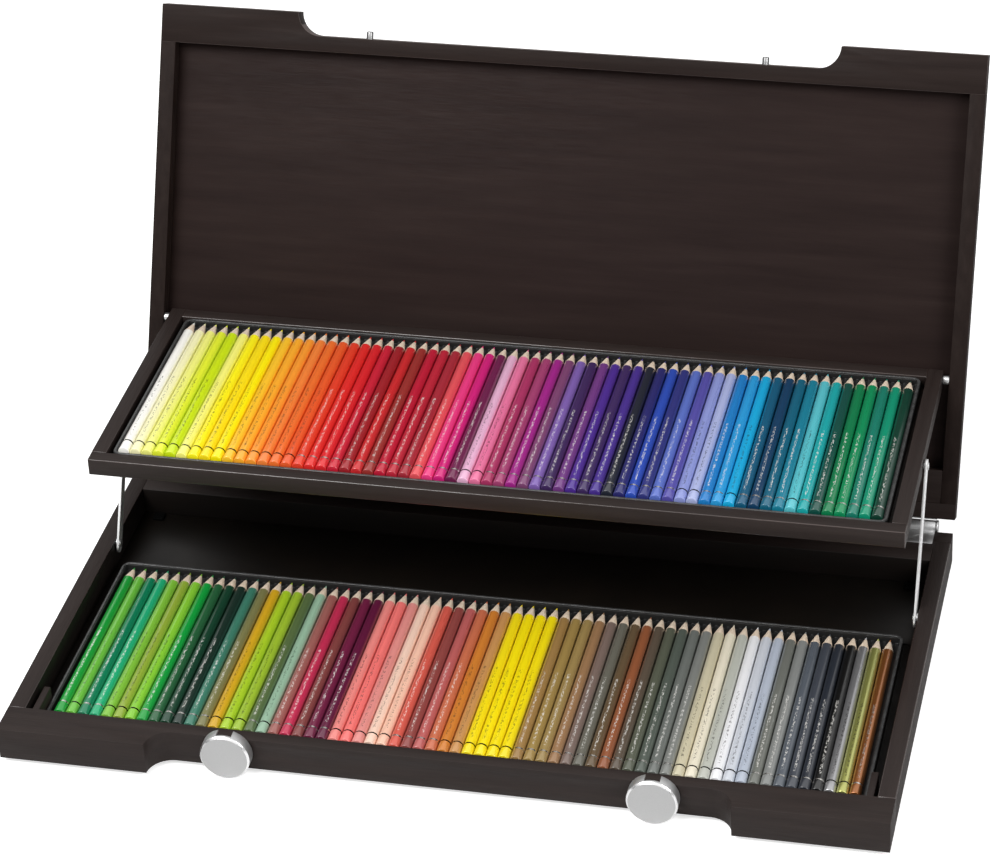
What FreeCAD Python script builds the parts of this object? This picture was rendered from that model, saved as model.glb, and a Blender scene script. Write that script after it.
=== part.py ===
import FreeCAD, Part, Sketcher
import math
import os
import re

# A two-level wooden pencil case. The lid swings up on two butt hinges and carries an
# upper tray, which two flat steel links keep level. Two aluminium latch cups on the
# front catch two steel pins in the lid.
# Origin: centre of the bounding box of the open case, on the surface it rests on.
# X is to the right, Y to the rear, Z up. The case is drawn open. Millimetres and degrees.

os.makedirs("parts", exist_ok=True)
doc = FreeCAD.newDocument("pencil_case")
V = FreeCAD.Vector

dims = {
    # base
    "case_w": 604.0, "case_d": 330.0, "foot_h": 4.0, "foot_r": 8.0, "base_h": 24.0,
    "side_t": 12.0, "front_t": 26.0, "rear_t": 12.0, "filler_t": 24.0,
    "floor_t": 3.0, "rebate": 4.0, "liner_t": 0.8, "rear_bay": 109.0,
    # finger recess in the front of the base and of the lid
    "recess_x": 182.0, "recess_d": 16.5,
    # lid
    "lid_h": 13.5, "stile_t": 11.0, "lid_front_t": 27.5, "lid_rear_t": 11.0,
    "lid_filler_t": 24.0, "panel_t": 2.5, "lid_angle": 115.5,
    # butt hinges
    "hinge_back": 6.0, "hinge_in": 13.0, "hinge_w": 60.0,
    "knuckle_gap": 0.2, "knuckle_r": 4.75, "leaf_t": 1.5, "leaf_y": 15.0,
    "hinge_pin_r": 1.6, "run_gap": 0.06, "cap_t": 1.9,
    "lid_leaf_low": 5.2, "lid_leaf_high": 12.6, "web_y": 4.0, "web_h": 3.4, "lid_screw_z": 9.0,
    # wood screws
    "screw_head_r": 3.0, "screw_r": 1.4, "screw_l": 8.0, "screw_back": 8.0,
    # parallel linkage
    "link_l": 105.5, "link_w": 8.0, "link_t": 1.6, "link_off": 1.2, "link_tail": 3.0,
    "pivot_in_lid": 3.5, "pivot_drop": 5.7, "link_dy": 105.7, "link_dz": 4.0,
    "pivot_r": 2.0, "link_pin_r": 1.5, "link_gap": 0.08, "pin_head_r": 3.0,
    # tray
    "tray_side_gap": 4.0, "tray_front_gap": 2.96, "tray_h": 12.7, "tray_rail": 10.5,
    "tray_rear": 10.4, "tray_floor_t": 2.5, "tray_back": 3.5,
    # formed inserts
    "insert_r": 6.0, "insert_side_gap": 8.0, "insert_y": 27.0, "insert_rear_gap": 1.0,
    "insert_top": 11.0, "insert_rim": 3.0, "upper_side_gap": 3.5,
    "upper_end_gap": 0.5, "upper_insert_drop": 1.2, "insert_skin": 1.4,
    # pencils
    "pencil_slack": 8.2, "pencil_gap": 0.3, "groove_slack": 0.08, "row_margin": 3.2, "cone_l": 15.5,
    "lead_r": 1.1, "lead_tip_r": 0.2, "groove_land": 2.5,
    "lower_y": 41.5, "lower_z": 9.0, "upper_y": 15.8, "upper_z": 2.3,
    # rests
    "block_in": 3.0, "block_w": 4.7, "block_d": 30.0, "block_top": 20.2,
    "pad_in": 13.0, "pad_back": 6.0, "pad_w": 8.0, "pad_h": 2.0,
    # latch cups
    "knob_x": 145.0, "knob_z": 14.2, "knob_r": 17.3, "knob_wall": 1.5,
    "knob_l": 9.2, "knob_face": 2.0, "knob_gap": 0.8, "collar_gap": 0.3, "knob_bevel": 1.3,
    "slot_w": 10.5, "slot_d": 6.2, "boss_r": 7.0, "bush_r": 5.0,
    "spindle_r": 3.0, "spindle_head_r": 5.2, "bush_l": 7.0, "counterbore_r": 6.0,
    "spindle_tail": 6.0, "spindle_head_t": 2.2,
    "latch_pin_r": 2.5, "latch_pin_out": 5.6, "latch_pin_in": 8.0, "latch_pin_z": 3.0,
}
UPPER_COUNT = 64
LOWER_COUNT = 66


def add_worked_out(d):
    """Positions that follow from the sizes above."""
    lean = math.radians(180.0 - d["lid_angle"])
    arm = d["case_d"] + d["hinge_back"]
    d["front_y"] = -round((arm + arm * math.cos(lean) + d["lid_h"] * math.sin(lean)) / 2, 2)
    d["rear_y"] = d["front_y"] + d["case_d"]
    d["mate_z"] = d["foot_h"] + d["base_h"]
    d["hinge_y"] = d["rear_y"] + d["hinge_back"]
    closed = 180.0 - math.degrees(math.asin(d["pivot_in_lid"] / d["link_l"]))
    d["link_angle"] = closed - d["lid_angle"]
    reach = math.radians(closed)
    rest = math.radians(d["link_angle"])
    d["lid_pivot_y"] = d["hinge_y"] + d["link_l"] * math.cos(reach)
    d["lid_pivot_z"] = d["mate_z"] + d["pivot_in_lid"]
    d["tray_pivot_y"] = d["hinge_y"] + d["link_l"] * math.cos(rest)
    d["tray_pivot_z"] = d["mate_z"] + d["link_l"] * math.sin(rest)
    d["hinge_x"] = d["case_w"] / 2 - d["hinge_in"] - d["hinge_w"]
    d["knuckle_w"] = d["hinge_w"] / 3
    d["tray_w"] = d["case_w"] - 2 * (d["side_t"] + d["tray_side_gap"])
    d["tray_d"] = round(d["lid_pivot_y"] + d["tray_back"] - d["front_y"] - d["front_t"] - d["tray_front_gap"], 2)
    d["link_x"] = d["tray_w"] / 2 + d["link_off"]
    d["liner_y"] = d["case_d"] - d["rear_bay"]
    d["insert_w"] = d["case_w"] - 2 * (d["side_t"] + d["insert_side_gap"])
    d["insert_d"] = d["liner_y"] - d["insert_rear_gap"] - d["insert_y"]
    d["upper_insert_w"] = d["tray_w"] - 2 * (d["tray_rail"] + d["upper_side_gap"])
    d["upper_insert_d"] = d["tray_d"] - d["tray_rail"] - d["tray_rear"] - 2 * d["upper_end_gap"]
    d["pencil_l"] = d["upper_insert_d"] - d["pencil_slack"]
    d["pencil_pitch"] = (d["upper_insert_w"] - 2 * d["row_margin"]) / UPPER_COUNT
    d["pencil_r"] = (d["pencil_pitch"] - d["pencil_gap"]) / 2
    d["block_x"] = d["case_w"] / 2 - d["side_t"] - d["block_in"] - d["block_w"]
    d["pad_x"] = d["case_w"] / 2 - d["side_t"] - d["pad_in"]
    d["pad_y"] = d["case_d"] - d["rear_t"] - d["filler_t"] - d["pad_back"]
    d["tray_top"] = d["tray_pivot_z"] + d["pivot_drop"]
    d["tray_bottom"] = d["tray_top"] - d["tray_h"]
    d["tray_y"] = d["tray_pivot_y"] + d["tray_back"] - d["tray_d"]
    d["base_link_y"] = d["hinge_y"] - d["link_dy"]
    d["base_link_z"] = d["mate_z"] - d["link_dz"]
    d["tray_link_y"] = d["tray_pivot_y"] - d["link_dy"]
    d["tray_link_z"] = d["tray_pivot_z"] - d["link_dz"]


add_worked_out(dims)
sheet = doc.addObject("Spreadsheet::Sheet", "Sizes")
for row, (alias, number) in enumerate(dims.items(), 1):
    sheet.set("A%d" % row, alias)
    sheet.set("B%d" % row, "%.5f" % number)
    sheet.setAlias("B%d" % row, alias)
doc.recompute()

nodes = []


def bind(obj, **formulas):
    """Bind properties to formulas written with the sheet's aliases."""
    for path, text in formulas.items():
        text = re.sub(r"[a-z]\w*", lambda m: "Sizes." + m.group(0) if m.group(0) in dims else m.group(0), text)
        obj.setExpression(path.replace("__", "."), text)
    return obj


def put(obj, x, y, z):
    return bind(obj, Placement__Base__x=x, Placement__Base__y=y, Placement__Base__z=z)


def box(name, x, y, z, dx, dy, dz):
    obj = doc.addObject("Part::Box", name)
    bind(obj, Length=dx, Width=dy, Height=dz)
    return put(obj, x, y, z)


TURNS = {
    "X": FreeCAD.Rotation(V(0, 1, 0), 90),
    "Y": FreeCAD.Rotation(V(1, 0, 0), -90),
    "Z": FreeCAD.Rotation(),
    "-X": FreeCAD.Rotation(V(0, 1, 0), -90),
}


def rod(name, along, x, y, z, radius, length):
    obj = doc.addObject("Part::Cylinder", name)
    obj.Placement.Rotation = TURNS[along]
    bind(obj, Radius=radius, Height=length)
    return put(obj, x, y, z)


def cone(name, along, x, y, z, r1, r2, length):
    obj = doc.addObject("Part::Cone", name)
    obj.Placement.Rotation = TURNS[along]
    bind(obj, Radius1=r1, Radius2=r2, Height=length)
    return put(obj, x, y, z)


def fuse(name, pieces):
    obj = doc.addObject("Part::MultiFuse", name)
    obj.Shapes = pieces
    obj.Refine = True
    return obj


def cut(name, base, tools):
    obj = doc.addObject("Part::Cut", name)
    obj.Base = base
    obj.Tool = tools[0] if len(tools) == 1 else fuse(name + "_tools", tools)
    obj.Refine = True
    return obj


def group(name, pieces):
    obj = doc.addObject("Part::Compound", name)
    obj.Links = pieces
    return obj


def node(obj, label):
    """Name a finished sub-part."""
    obj.Label = label
    nodes.append(obj)
    return obj


def opened(obj):
    """Swing a piece of the closed lid up to its rest pose."""
    turn = FreeCAD.Rotation(V(1, 0, 0), -dims["lid_angle"])
    obj.Placement = FreeCAD.Placement(V(0, 0, 0), turn, V(0, dims["hinge_y"], dims["mate_z"]))
    return obj


def lower_x(side, near, wide):
    """Lower X of something that starts near mm from the middle plane."""
    return near if side > 0 else "-(%s) - (%s)" % (near, wide)


def side_word(side):
    return "right" if side > 0 else "left"


def outward(side):
    return "X" if side > 0 else "-X"


def rectangle(sketch, x0, y0, x1, y1):
    """A rectangle whose four sides are bound to formulas."""
    corners = [V(0, 0, 0), V(10, 0, 0), V(10, 10, 0), V(0, 10, 0)]
    for i in range(4):
        sketch.addGeometry(Part.LineSegment(corners[i], corners[(i + 1) % 4]), False)
    for i in range(4):
        sketch.addConstraint(Sketcher.Constraint("Coincident", i, 2, (i + 1) % 4, 1))
    for i, kind in enumerate(["Horizontal", "Vertical", "Horizontal", "Vertical"]):
        sketch.addConstraint(Sketcher.Constraint(kind, i))
    places = [("DistanceX", 0, 1, x0), ("DistanceY", 0, 1, y0), ("DistanceX", 1, 2, x1), ("DistanceY", 1, 2, y1)]
    for kind, line, end, text in places:
        spot = sketch.addConstraint(Sketcher.Constraint(kind, -1, 1, line, end, 5.0))
        bind(sketch, **{"Constraints[%d]" % spot: text})


def sketch_on(body, name, role, offset=None):
    """A sketch on one of the body's own origin planes."""
    sketch = body.newObject("Sketcher::SketchObject", name)
    plane = [f for f in body.Origin.OriginFeatures if f.Role == role][0]
    sketch.AttachmentSupport = [(plane, "")]
    sketch.MapMode = "FlatFace"
    if offset:
        bind(sketch, AttachmentOffset__Base__z=offset)
    return sketch


# Finger recess: a flat back with a quarter-round cove at each end, cut right through.
def recess(name, z, height):
    back = box(name + "_flat", "-recess_x", "front_y - 1", z, "2 * recess_x", "recess_d + 1", height)
    coves = [rod("%s_cove_%s" % (name, side_word(s)), "Z", "%d * recess_x" % s, "front_y", z, "recess_d", height)
             for s in (-1, 1)]
    return fuse(name, [back] + coves)


# ---- base ----------------------------------------------------------------------

floor_box = ["-case_w / 2 + side_t - rebate", "front_y + front_t - rebate", "foot_h",
             "case_w - 2 * side_t + 2 * rebate",
             "case_d - front_t - rear_t - filler_t + 2 * rebate", "floor_t"]
node(box("base_floor", *floor_box), "base_floor")


def rebated(name, wall, *tools):
    return cut(name, wall, [box(name + "_rebate", *floor_box)] + list(tools))


front = box("front_blank", "-case_w / 2", "front_y", "foot_h", "case_w", "front_t", "base_h")
bores = []
for s in (-1, 1):
    word = side_word(s)
    bores.append(rod("bush_bore_" + word, "Y", "%d * knob_x" % s, "front_y + recess_d", "foot_h + knob_z",
                     "bush_r", "bush_l"))
    bores.append(rod("counterbore_" + word, "Y", "%d * knob_x" % s, "front_y + recess_d + bush_l",
                     "foot_h + knob_z", "counterbore_r", "front_t - recess_d - bush_l + 1"))
node(rebated("base_front_wall", front, recess("base_recess", "foot_h - 1", "base_h + 2"), *bores),
     "base_front_wall")

for s in (-1, 1):
    word = side_word(s)
    wall = box("side_blank_" + word, lower_x(s, "case_w / 2 - side_t", "side_t"), "front_y + front_t", "foot_h",
               "side_t", "case_d - front_t - rear_t", "base_h")
    hole = rod("link_hole_" + word, outward(s), "%d * (case_w / 2 - side_t)" % s, "base_link_y", "base_link_z",
               "pivot_r", "6")
    name = "base_%s_wall" % word
    node(rebated(name, wall, hole), name)

leaf_cuts = []
screw_holes = []
for s in (-1, 1):
    word = side_word(s)
    leaf_cuts.append(box("base_mortise_" + word, lower_x(s, "hinge_x", "hinge_w"), "rear_y - leaf_y",
                         "mate_z - leaf_t", "hinge_w", "leaf_y + 1", "leaf_t + 1"))
    for i in (-1, 0, 1):
        x = "%d * (hinge_x + hinge_w / 2) + %d * (knuckle_w)" % (s, i)
        screw_holes.append(rod("base_pilot_%s_%d" % (word, i + 2), "Z", x, "rear_y - screw_back",
                               "mate_z - leaf_t - screw_l", "screw_r", "screw_l"))

rail = box("rear_blank", "-case_w / 2", "rear_y - rear_t", "foot_h", "case_w", "rear_t", "base_h")
node(cut("base_rear_wall", rail, [box("rear_rebate", *floor_box)] + leaf_cuts + screw_holes), "base_rear_wall")

filler = box("filler_blank", "-case_w / 2 + side_t", "rear_y - rear_t - filler_t", "foot_h",
             "case_w - 2 * side_t", "filler_t", "base_h")
mortises = [box("filler_mortise_" + side_word(s), lower_x(s, "hinge_x", "hinge_w"), "rear_y - leaf_y",
                "mate_z - leaf_t", "hinge_w", "leaf_y", "leaf_t + 1") for s in (-1, 1)]
node(rebated("base_rear_filler", filler, *mortises), "base_rear_filler")

node(box("floor_liner", "-case_w / 2 + side_t + 0.5", "front_y + liner_y", "foot_h + floor_t",
         "case_w - 2 * side_t - 1", "case_d - rear_t - filler_t - liner_y - 0.5", "liner_t"), "floor_liner")

node(group("corner_blocks", [
    box("block_" + side_word(s), lower_x(s, "block_x", "block_w"), "front_y + front_t", "foot_h + floor_t",
        "block_w", "block_d", "block_top - floor_t") for s in (-1, 1)]), "corner_blocks")

node(group("floor_pads", [
    box("pad_" + side_word(s), lower_x(s, "pad_x - pad_w / 2", "pad_w"), "front_y + pad_y - pad_w / 2",
        "foot_h + floor_t + liner_t", "pad_w", "pad_w", "pad_h") for s in (-1, 1)]), "floor_pads")

node(group("feet", [
    rod("foot_%s_%d" % (side_word(s), i), "Z", "%d * (case_w / 2 - 14)" % s,
        "front_y + 14" if i == 0 else "rear_y - 14", "0", "foot_r", "foot_h")
    for s in (-1, 1) for i in (0, 1)]), "feet")

# ---- hinges --------------------------------------------------------------------


def screw_x(s, i):
    """X of one of the three screws in a leaf."""
    return "%d * (hinge_x + hinge_w / 2) + %d * knuckle_w" % (s, i)


def base_screw(name, s, i):
    """A countersunk wood screw driven down into the base, its head flush with the leaf."""
    top = "mate_z - leaf_t"
    return fuse(name, [
        cone(name + "_head", "Z", screw_x(s, i), "rear_y - screw_back", top, "screw_r", "screw_head_r", "leaf_t"),
        rod(name + "_shank", "Z", screw_x(s, i), "rear_y - screw_back", top + " - screw_l", "screw_r", "screw_l")])


def lid_screw(name, s, i):
    """The same screw driven forwards into the lid's rear edge."""
    z = "mate_z + lid_screw_z"
    return fuse(name, [
        cone(name + "_head", "Y", screw_x(s, i), "rear_y", z, "screw_r", "screw_head_r", "leaf_t"),
        rod(name + "_shank", "Y", screw_x(s, i), "rear_y - screw_l", z, "screw_r", "screw_l")])


def screws(name, screw):
    return group(name, [screw("%s_%s_%d" % (name, side_word(s), i + 2), s, i)
                        for s in (-1, 1) for i in (-1, 0, 1)])


def base_leaf(name, s):
    """The leaf let into the top of the base, with the two outer knuckles."""
    start = lower_x(s, "hinge_x", "hinge_w")
    pieces = [box(name + "_plate", start, "rear_y - leaf_y", "mate_z - leaf_t", "hinge_w", "leaf_y", "leaf_t")]
    for i in (0, 2):
        x = "%s + %d * knuckle_w + knuckle_gap / 2" % (start, i)
        wide = "knuckle_w - knuckle_gap"
        pieces.append(box("%s_strap_%d" % (name, i), x, "rear_y", "mate_z - leaf_t", wide, "hinge_back", "leaf_t"))
        pieces.append(rod("%s_knuckle_%d" % (name, i), "X", x, "hinge_y", "mate_z", "knuckle_r", wide))
    tools = [rod(name + "_bore", "X", start, "hinge_y", "mate_z", "hinge_pin_r", "hinge_w")]
    tools += [base_screw("%s_sink_%d" % (name, i + 2), s, i) for i in (-1, 0, 1)]
    return cut(name, fuse(name + "_solid", pieces), tools)


def lid_leaf(name, s):
    """The leaf on the lid's rear edge, with the middle knuckle."""
    start = lower_x(s, "hinge_x", "hinge_w")
    x = "%s + knuckle_w + knuckle_gap / 2" % start
    wide = "knuckle_w - knuckle_gap"
    solid = fuse(name + "_solid", [
        box(name + "_plate", start, "rear_y", "mate_z + lid_leaf_low", "hinge_w", "leaf_t",
            "lid_leaf_high - lid_leaf_low"),
        box(name + "_strap", x, "rear_y", "mate_z", wide, "leaf_t", "lid_leaf_low"),
        box(name + "_web", x, "rear_y", "mate_z", wide, "web_y", "web_h"),
        rod(name + "_knuckle", "X", x, "hinge_y", "mate_z", "knuckle_r", wide)])
    tools = [rod(name + "_bore", "X", start, "hinge_y", "mate_z", "hinge_pin_r + run_gap", "hinge_w")]
    tools += [lid_screw("%s_sink_%d" % (name, i + 2), s, i) for i in (-1, 0, 1)]
    return cut(name, solid, tools)


node(group("base_hinge_leaves", [base_leaf("base_leaf_" + side_word(s), s) for s in (-1, 1)]),
     "base_hinge_leaves")
node(screws("base_hinge_screws", base_screw), "base_hinge_screws")
hinge_pins = []
for s in (-1, 1):
    word = side_word(s)
    start = lower_x(s, "hinge_x", "hinge_w")
    hinge_pins.append(fuse("hinge_pin_" + word, [
        rod("hinge_shank_" + word, "X", start, "hinge_y", "mate_z", "hinge_pin_r", "hinge_w"),
        rod("hinge_cap_a_" + word, "X", start + " - cap_t", "hinge_y", "mate_z", "knuckle_r + 0.2", "cap_t"),
        rod("hinge_cap_b_" + word, "X", start + " + hinge_w", "hinge_y", "mate_z", "knuckle_r + 0.2", "cap_t")]))
node(group("hinge_pins", hinge_pins), "hinge_pins")
node(opened(group("lid_hinge_leaves", [lid_leaf("lid_leaf_" + side_word(s), s) for s in (-1, 1)])),
     "lid_hinge_leaves")
node(opened(screws("lid_hinge_screws", lid_screw)), "lid_hinge_screws")

# ---- lid, drawn closed and then swung up ------------------------------------------

panel_box = ["-case_w / 2 + stile_t - rebate", "front_y + lid_front_t - rebate",
             "mate_z + lid_h - panel_t", "case_w - 2 * stile_t + 2 * rebate",
             "case_d - lid_front_t - lid_rear_t + 2 * rebate", "panel_t"]
node(opened(group("lid_panel", [box("panel_sheet", *panel_box)])), "lid_panel")


def lid_piece(name, blank, *tools):
    piece = cut(name, blank, [box(name + "_rebate", *panel_box)] + list(tools))
    return node(opened(piece), name)


pin_bores = [rod("latch_bore_" + side_word(s), "Y", "%d * knob_x" % s, "front_y + recess_d",
                 "mate_z + latch_pin_z", "latch_pin_r", "latch_pin_in") for s in (-1, 1)]
lid_piece("lid_front_rail",
          box("lid_front_blank", "-case_w / 2", "front_y", "mate_z", "case_w", "lid_front_t", "lid_h"),
          recess("lid_recess", "mate_z - 1", "lid_h + 2"), *pin_bores)
for s in (-1, 1):
    word = side_word(s)
    stile = box("stile_blank_" + word, lower_x(s, "case_w / 2 - stile_t", "stile_t"), "front_y + lid_front_t",
                "mate_z", "stile_t", "case_d - lid_front_t - lid_rear_t", "lid_h")
    hole = rod("stile_hole_" + word, outward(s), "%d * (case_w / 2 - stile_t)" % s, "lid_pivot_y",
               "lid_pivot_z", "pivot_r", "8")
    lid_piece("lid_%s_stile" % word, stile, hole)

lid_pilots = [rod("lid_pilot_%s_%d" % (side_word(s), i + 2), "Y", screw_x(s, i), "rear_y - screw_l",
                  "mate_z + lid_screw_z", "screw_r", "screw_l") for s in (-1, 1) for i in (-1, 0, 1)]
lid_piece("lid_rear_rail",
          box("lid_rear_blank", "-case_w / 2", "rear_y - lid_rear_t", "mate_z", "case_w", "lid_rear_t", "lid_h"),
          *lid_pilots)
lid_piece("lid_rear_filler",
          box("lid_filler_blank", "-case_w / 2 + stile_t", "rear_y - lid_rear_t - lid_filler_t", "mate_z",
              "case_w - 2 * stile_t", "lid_filler_t", "lid_h"))

latch_pins = []
for s in (-1, 1):
    word = side_word(s)
    shank = rod("latch_shank_" + word, "Y", "%d * knob_x" % s, "front_y + recess_d - latch_pin_out + 0.6",
                "mate_z + latch_pin_z", "latch_pin_r", "latch_pin_out + latch_pin_in - 0.6")
    nose = cone("latch_nose_" + word, "Y", "%d * knob_x" % s, "front_y + recess_d - latch_pin_out",
                "mate_z + latch_pin_z", "latch_pin_r - 0.6", "latch_pin_r", "0.6")
    latch_pins.append(fuse("latch_pin_" + word, [shank, nose]))
node(opened(group("latch_pins", latch_pins)), "latch_pins")

pivots = []
for s in (-1, 1):
    word = side_word(s)
    shank = rod("pivot_shank_" + word, outward(s), "%d * (tray_w / 2 - 8)" % s, "lid_pivot_y", "lid_pivot_z",
                "pivot_r", "case_w / 2 - stile_t + 8 - tray_w / 2 + 8")
    collar = rod("pivot_collar_" + word, outward(s), "%d * (tray_w / 2 + collar_gap)" % s, "lid_pivot_y",
                 "lid_pivot_z", "pivot_r + 1.2", "case_w / 2 - stile_t - tray_w / 2 - collar_gap")
    pivots.append(fuse("pivot_pin_" + word, [shank, collar]))
node(opened(group("tray_pivot_pins", pivots)), "tray_pivot_pins")

# ---- upper tray ------------------------------------------------------------------

tray_floor_box = ["-tray_w / 2 + tray_rail - rebate", "tray_y + tray_rail - rebate", "tray_bottom",
                  "tray_w - 2 * tray_rail + 2 * rebate", "tray_d - tray_rail - tray_rear + 2 * rebate",
                  "tray_floor_t"]
node(box("tray_floor", *tray_floor_box), "tray_floor")


def tray_piece(name, blank, *tools):
    return node(cut(name, blank, [box(name + "_rebate", *tray_floor_box)] + list(tools)), name)


tray_piece("tray_front_rail",
           box("tray_front_blank", "-tray_w / 2", "tray_y", "tray_bottom", "tray_w", "tray_rail", "tray_h"))
tray_piece("tray_rear_rail",
           box("tray_rear_blank", "-tray_w / 2 + tray_rail", "tray_y + tray_d - tray_rear", "tray_bottom",
               "tray_w - 2 * tray_rail", "tray_rear", "tray_h"))
tray_pins = []
for s in (-1, 1):
    word = side_word(s)
    blank = box("tray_side_blank_" + word, lower_x(s, "tray_w / 2 - tray_rail", "tray_rail"),
                "tray_y + tray_rail", "tray_bottom", "tray_rail", "tray_d - tray_rail", "tray_h")
    inward = outward(-s)
    pivot_bore = rod("tray_bore_" + word, inward, "%d * tray_w / 2" % s, "tray_pivot_y", "tray_pivot_z",
                     "pivot_r + run_gap", "8.5")
    link_bore = rod("tray_link_bore_" + word, inward, "%d * tray_w / 2" % s, "tray_link_y", "tray_link_z",
                    "link_pin_r", "6")
    tray_piece("tray_%s_rail" % word, blank, pivot_bore, link_bore)
    tray_pins.append(fuse("tray_pin_" + word, [
        rod("tray_pin_shank_" + word, outward(s), "%d * (tray_w / 2 - 6)" % s, "tray_link_y", "tray_link_z",
            "link_pin_r", "6 + link_x - tray_w / 2 + link_t + 0.2"),
        rod("tray_pin_shoulder_" + word, outward(s), "%d * tray_w / 2" % s, "tray_link_y", "tray_link_z",
            "link_pin_r + 0.9", "link_x - tray_w / 2 - 0.1"),
        rod("tray_pin_head_" + word, outward(s), "%d * (link_x + link_t + 0.1)" % s, "tray_link_y",
            "tray_link_z", "pin_head_r - 0.3", "0.7")]))
node(group("link_tray_pins", tray_pins), "link_tray_pins")

# ---- links ------------------------------------------------------------------------

base_pins = []
for s in (-1, 1):
    word = side_word(s)
    base_pins.append(fuse("base_pin_" + word, [
        rod("base_pin_shank_" + word, outward(s), "%d * (link_x - 0.2)" % s, "base_link_y", "base_link_z",
            "pivot_r", "case_w / 2 - side_t + 6 - link_x + 0.2"),
        rod("base_pin_shoulder_" + word, outward(s), "%d * (link_x + link_t + 0.1)" % s, "base_link_y",
            "base_link_z", "pivot_r + 1.2", "case_w / 2 - side_t - link_x - link_t - 0.1"),
        rod("base_pin_head_" + word, outward(s), "%d * (link_x - 0.8)" % s, "base_link_y", "base_link_z",
            "pin_head_r", "0.7")]))
    start = lower_x(s, "link_x", "link_t")
    y0 = "base_link_y"
    z0 = "base_link_z"
    bar = fuse("link_bar_" + word, [
        box("link_flat_" + word, start, "0 - link_tail", "0 - link_w / 2", "link_t", "link_l + 1 + link_tail", "link_w"),
        rod("link_end_a_" + word, "X", start, "0 - link_tail", "0", "link_w / 2", "link_t"),
        rod("link_end_b_" + word, "X", start, "link_l + 1", "0", "link_w / 2", "link_t")])
    link = cut("link_" + word, bar, [
        rod("link_eye_a_" + word, "X", start, "0", "0", "pivot_r + link_gap", "link_t"),
        rod("link_eye_b_" + word, "X", start, "link_l", "0", "link_pin_r + link_gap", "link_t")])
    link.Placement.Rotation = FreeCAD.Rotation(V(1, 0, 0), dims["link_angle"])
    put(link, "0", y0, z0)
    node(link, "link_" + word)
node(group("link_base_pins", base_pins), "link_base_pins")

# ---- latch cups -------------------------------------------------------------------

bushes = []
for s in (-1, 1):
    word = side_word(s)
    x = "%d * knob_x" % s
    z = "foot_h + knob_z"
    back_y = "front_y + recess_d - knob_gap"
    face_y = "front_y + recess_d - knob_gap - knob_l"
    bushes.append(cut("bush_" + word, rod("bush_blank_" + word, "Y", x, "front_y + recess_d", z, "bush_r", "bush_l"),
                      [rod("bush_hole_" + word, "Y", x, "front_y + recess_d - 1", z, "spindle_r + run_gap",
                           "bush_l + 2")]))
    shell = fuse("cup_shell_" + word, [
        cone("cup_bevel_" + word, "Y", x, face_y, z, "knob_r - knob_bevel", "knob_r", "knob_bevel"),
        rod("cup_wall_" + word, "Y", x, face_y + " + knob_bevel", z, "knob_r", "knob_l - knob_bevel")])
    hollow = cut("cup_hollow_" + word,
                 rod("cup_room_" + word, "Y", x, face_y + " + knob_face", z, "knob_r - knob_wall", "knob_l"),
                 [rod("cup_boss_" + word, "Y", x, face_y, z, "boss_r", "knob_l")])
    slot = box("cup_slot_" + word, x + " - slot_w / 2", back_y + " - slot_d", z, "slot_w", "slot_d + 1", "knob_r + 1")
    slot = cut("cup_notch_" + word, slot, [rod("cup_keep_" + word, "Y", x, face_y, z, "boss_r", "knob_l + 2")])
    thread = rod("cup_thread_" + word, "Y", x, back_y + " - spindle_tail", z, "spindle_r", "spindle_tail + 1")
    node(cut("knob_" + word, shell, [hollow, slot, thread]), "knob_" + word)
    node(fuse("knob_spindle_" + word, [
        rod("spindle_shank_" + word, "Y", x, back_y + " - spindle_tail", z, "spindle_r",
            "spindle_tail + knob_gap + bush_l + 0.1"),
        rod("spindle_head_" + word, "Y", x, "front_y + recess_d + bush_l + 0.1", z, "spindle_head_r",
            "spindle_head_t")]), "knob_spindle_" + word)
node(group("knob_bushes", bushes), "knob_bushes")

# ---- formed inserts -----------------------------------------------------------------


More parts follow.
